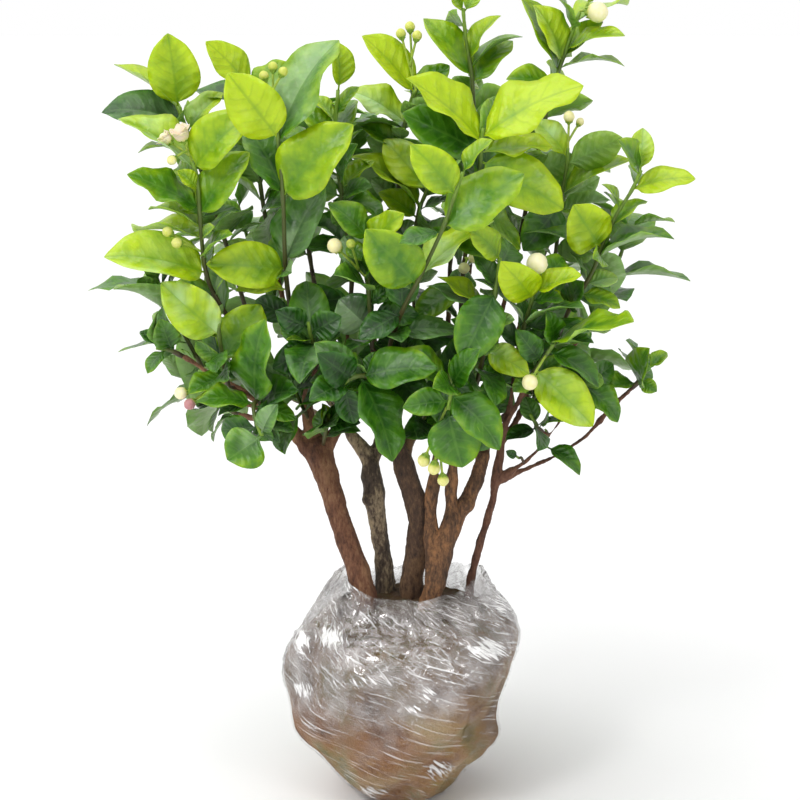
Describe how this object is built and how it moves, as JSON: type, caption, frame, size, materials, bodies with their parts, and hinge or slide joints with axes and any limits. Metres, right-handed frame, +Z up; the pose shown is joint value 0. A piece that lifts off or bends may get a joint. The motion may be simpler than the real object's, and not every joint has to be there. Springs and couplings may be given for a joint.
{
  "type": "jasmine plant with film-wrapped root ball",
  "caption": "Old jasmine bush with gnarled short trunks, glossy opposite leaves and cream buds, standing on a lumpy root ball wrapped in clear stretch film",
  "frame": {"origin": "the middle of the flat spot that the wrapped root ball rests on", "axes": "+Z up the plant; the side with the best view of the trunks faces -Y; +X to the right seen from there"},
  "size_m": [0.3804, 0.2492, 0.5088],
  "materials": {
    "soil": "moist crumbly soil",
    "film": "clear stretched film, creased",
    "bark": "rough bark",
    "leaf": "semi-gloss leaf",
    "bud": "satin petal"
  },
  "bodies": {
    "root": {"bud_low_right": "bud", "bud_right_front": "bud", "bud_small_front": "bud", "buds_far_left": "bud", "buds_hanging": "bud", "buds_left_middle": "bud", "buds_middle": "bud", "buds_right_inner": "bud", "buds_top_left": "bud", "buds_top_right": "bud", "buds_twig_left": "bud", "flower_left": "bud", "root_ball": "soil", "shoot_back_left": "leaf", "shoot_back_left_high": "leaf", "shoot_back_left_low": "leaf", "shoot_back_middle": "leaf", "shoot_back_middle_low": "leaf", "shoot_back_right": "leaf", "shoot_back_right_high": "leaf", "shoot_back_right_low": "leaf", "shoot_far_left": "leaf", "shoot_front_dark": "leaf", "shoot_front_left": "leaf", "shoot_front_low": "leaf", "shoot_front_middle": "leaf", "shoot_hanging": "leaf", "shoot_inner_left": "leaf", "shoot_left_high": "leaf", "shoot_left_low": "leaf", "shoot_left_middle": "leaf", "shoot_left_tall": "leaf", "shoot_low_middle": "leaf", "shoot_low_right": "leaf", "shoot_middle": "leaf", "shoot_right": "leaf", "shoot_right_front": "leaf", "shoot_right_inner": "leaf", "shoot_side_left": "leaf", "shoot_side_left_low": "leaf", "shoot_side_right": "leaf", "shoot_small_front": "leaf", "shoot_tall_middle": "leaf", "shoot_top_left": "leaf", "shoot_top_middle": "leaf", "shoot_top_right": "leaf", "shoot_twig_left": "leaf", "shoot_twig_low": "leaf", "shoot_twig_right": "leaf", "shoot_twig_tip": "leaf", "stretch_film": "film", "trunk_left": "bark", "trunk_middle": "bark", "trunk_right": "bark", "trunk_rough": "bark", "trunk_thin": "bark"}
  },
  "joints": []
}
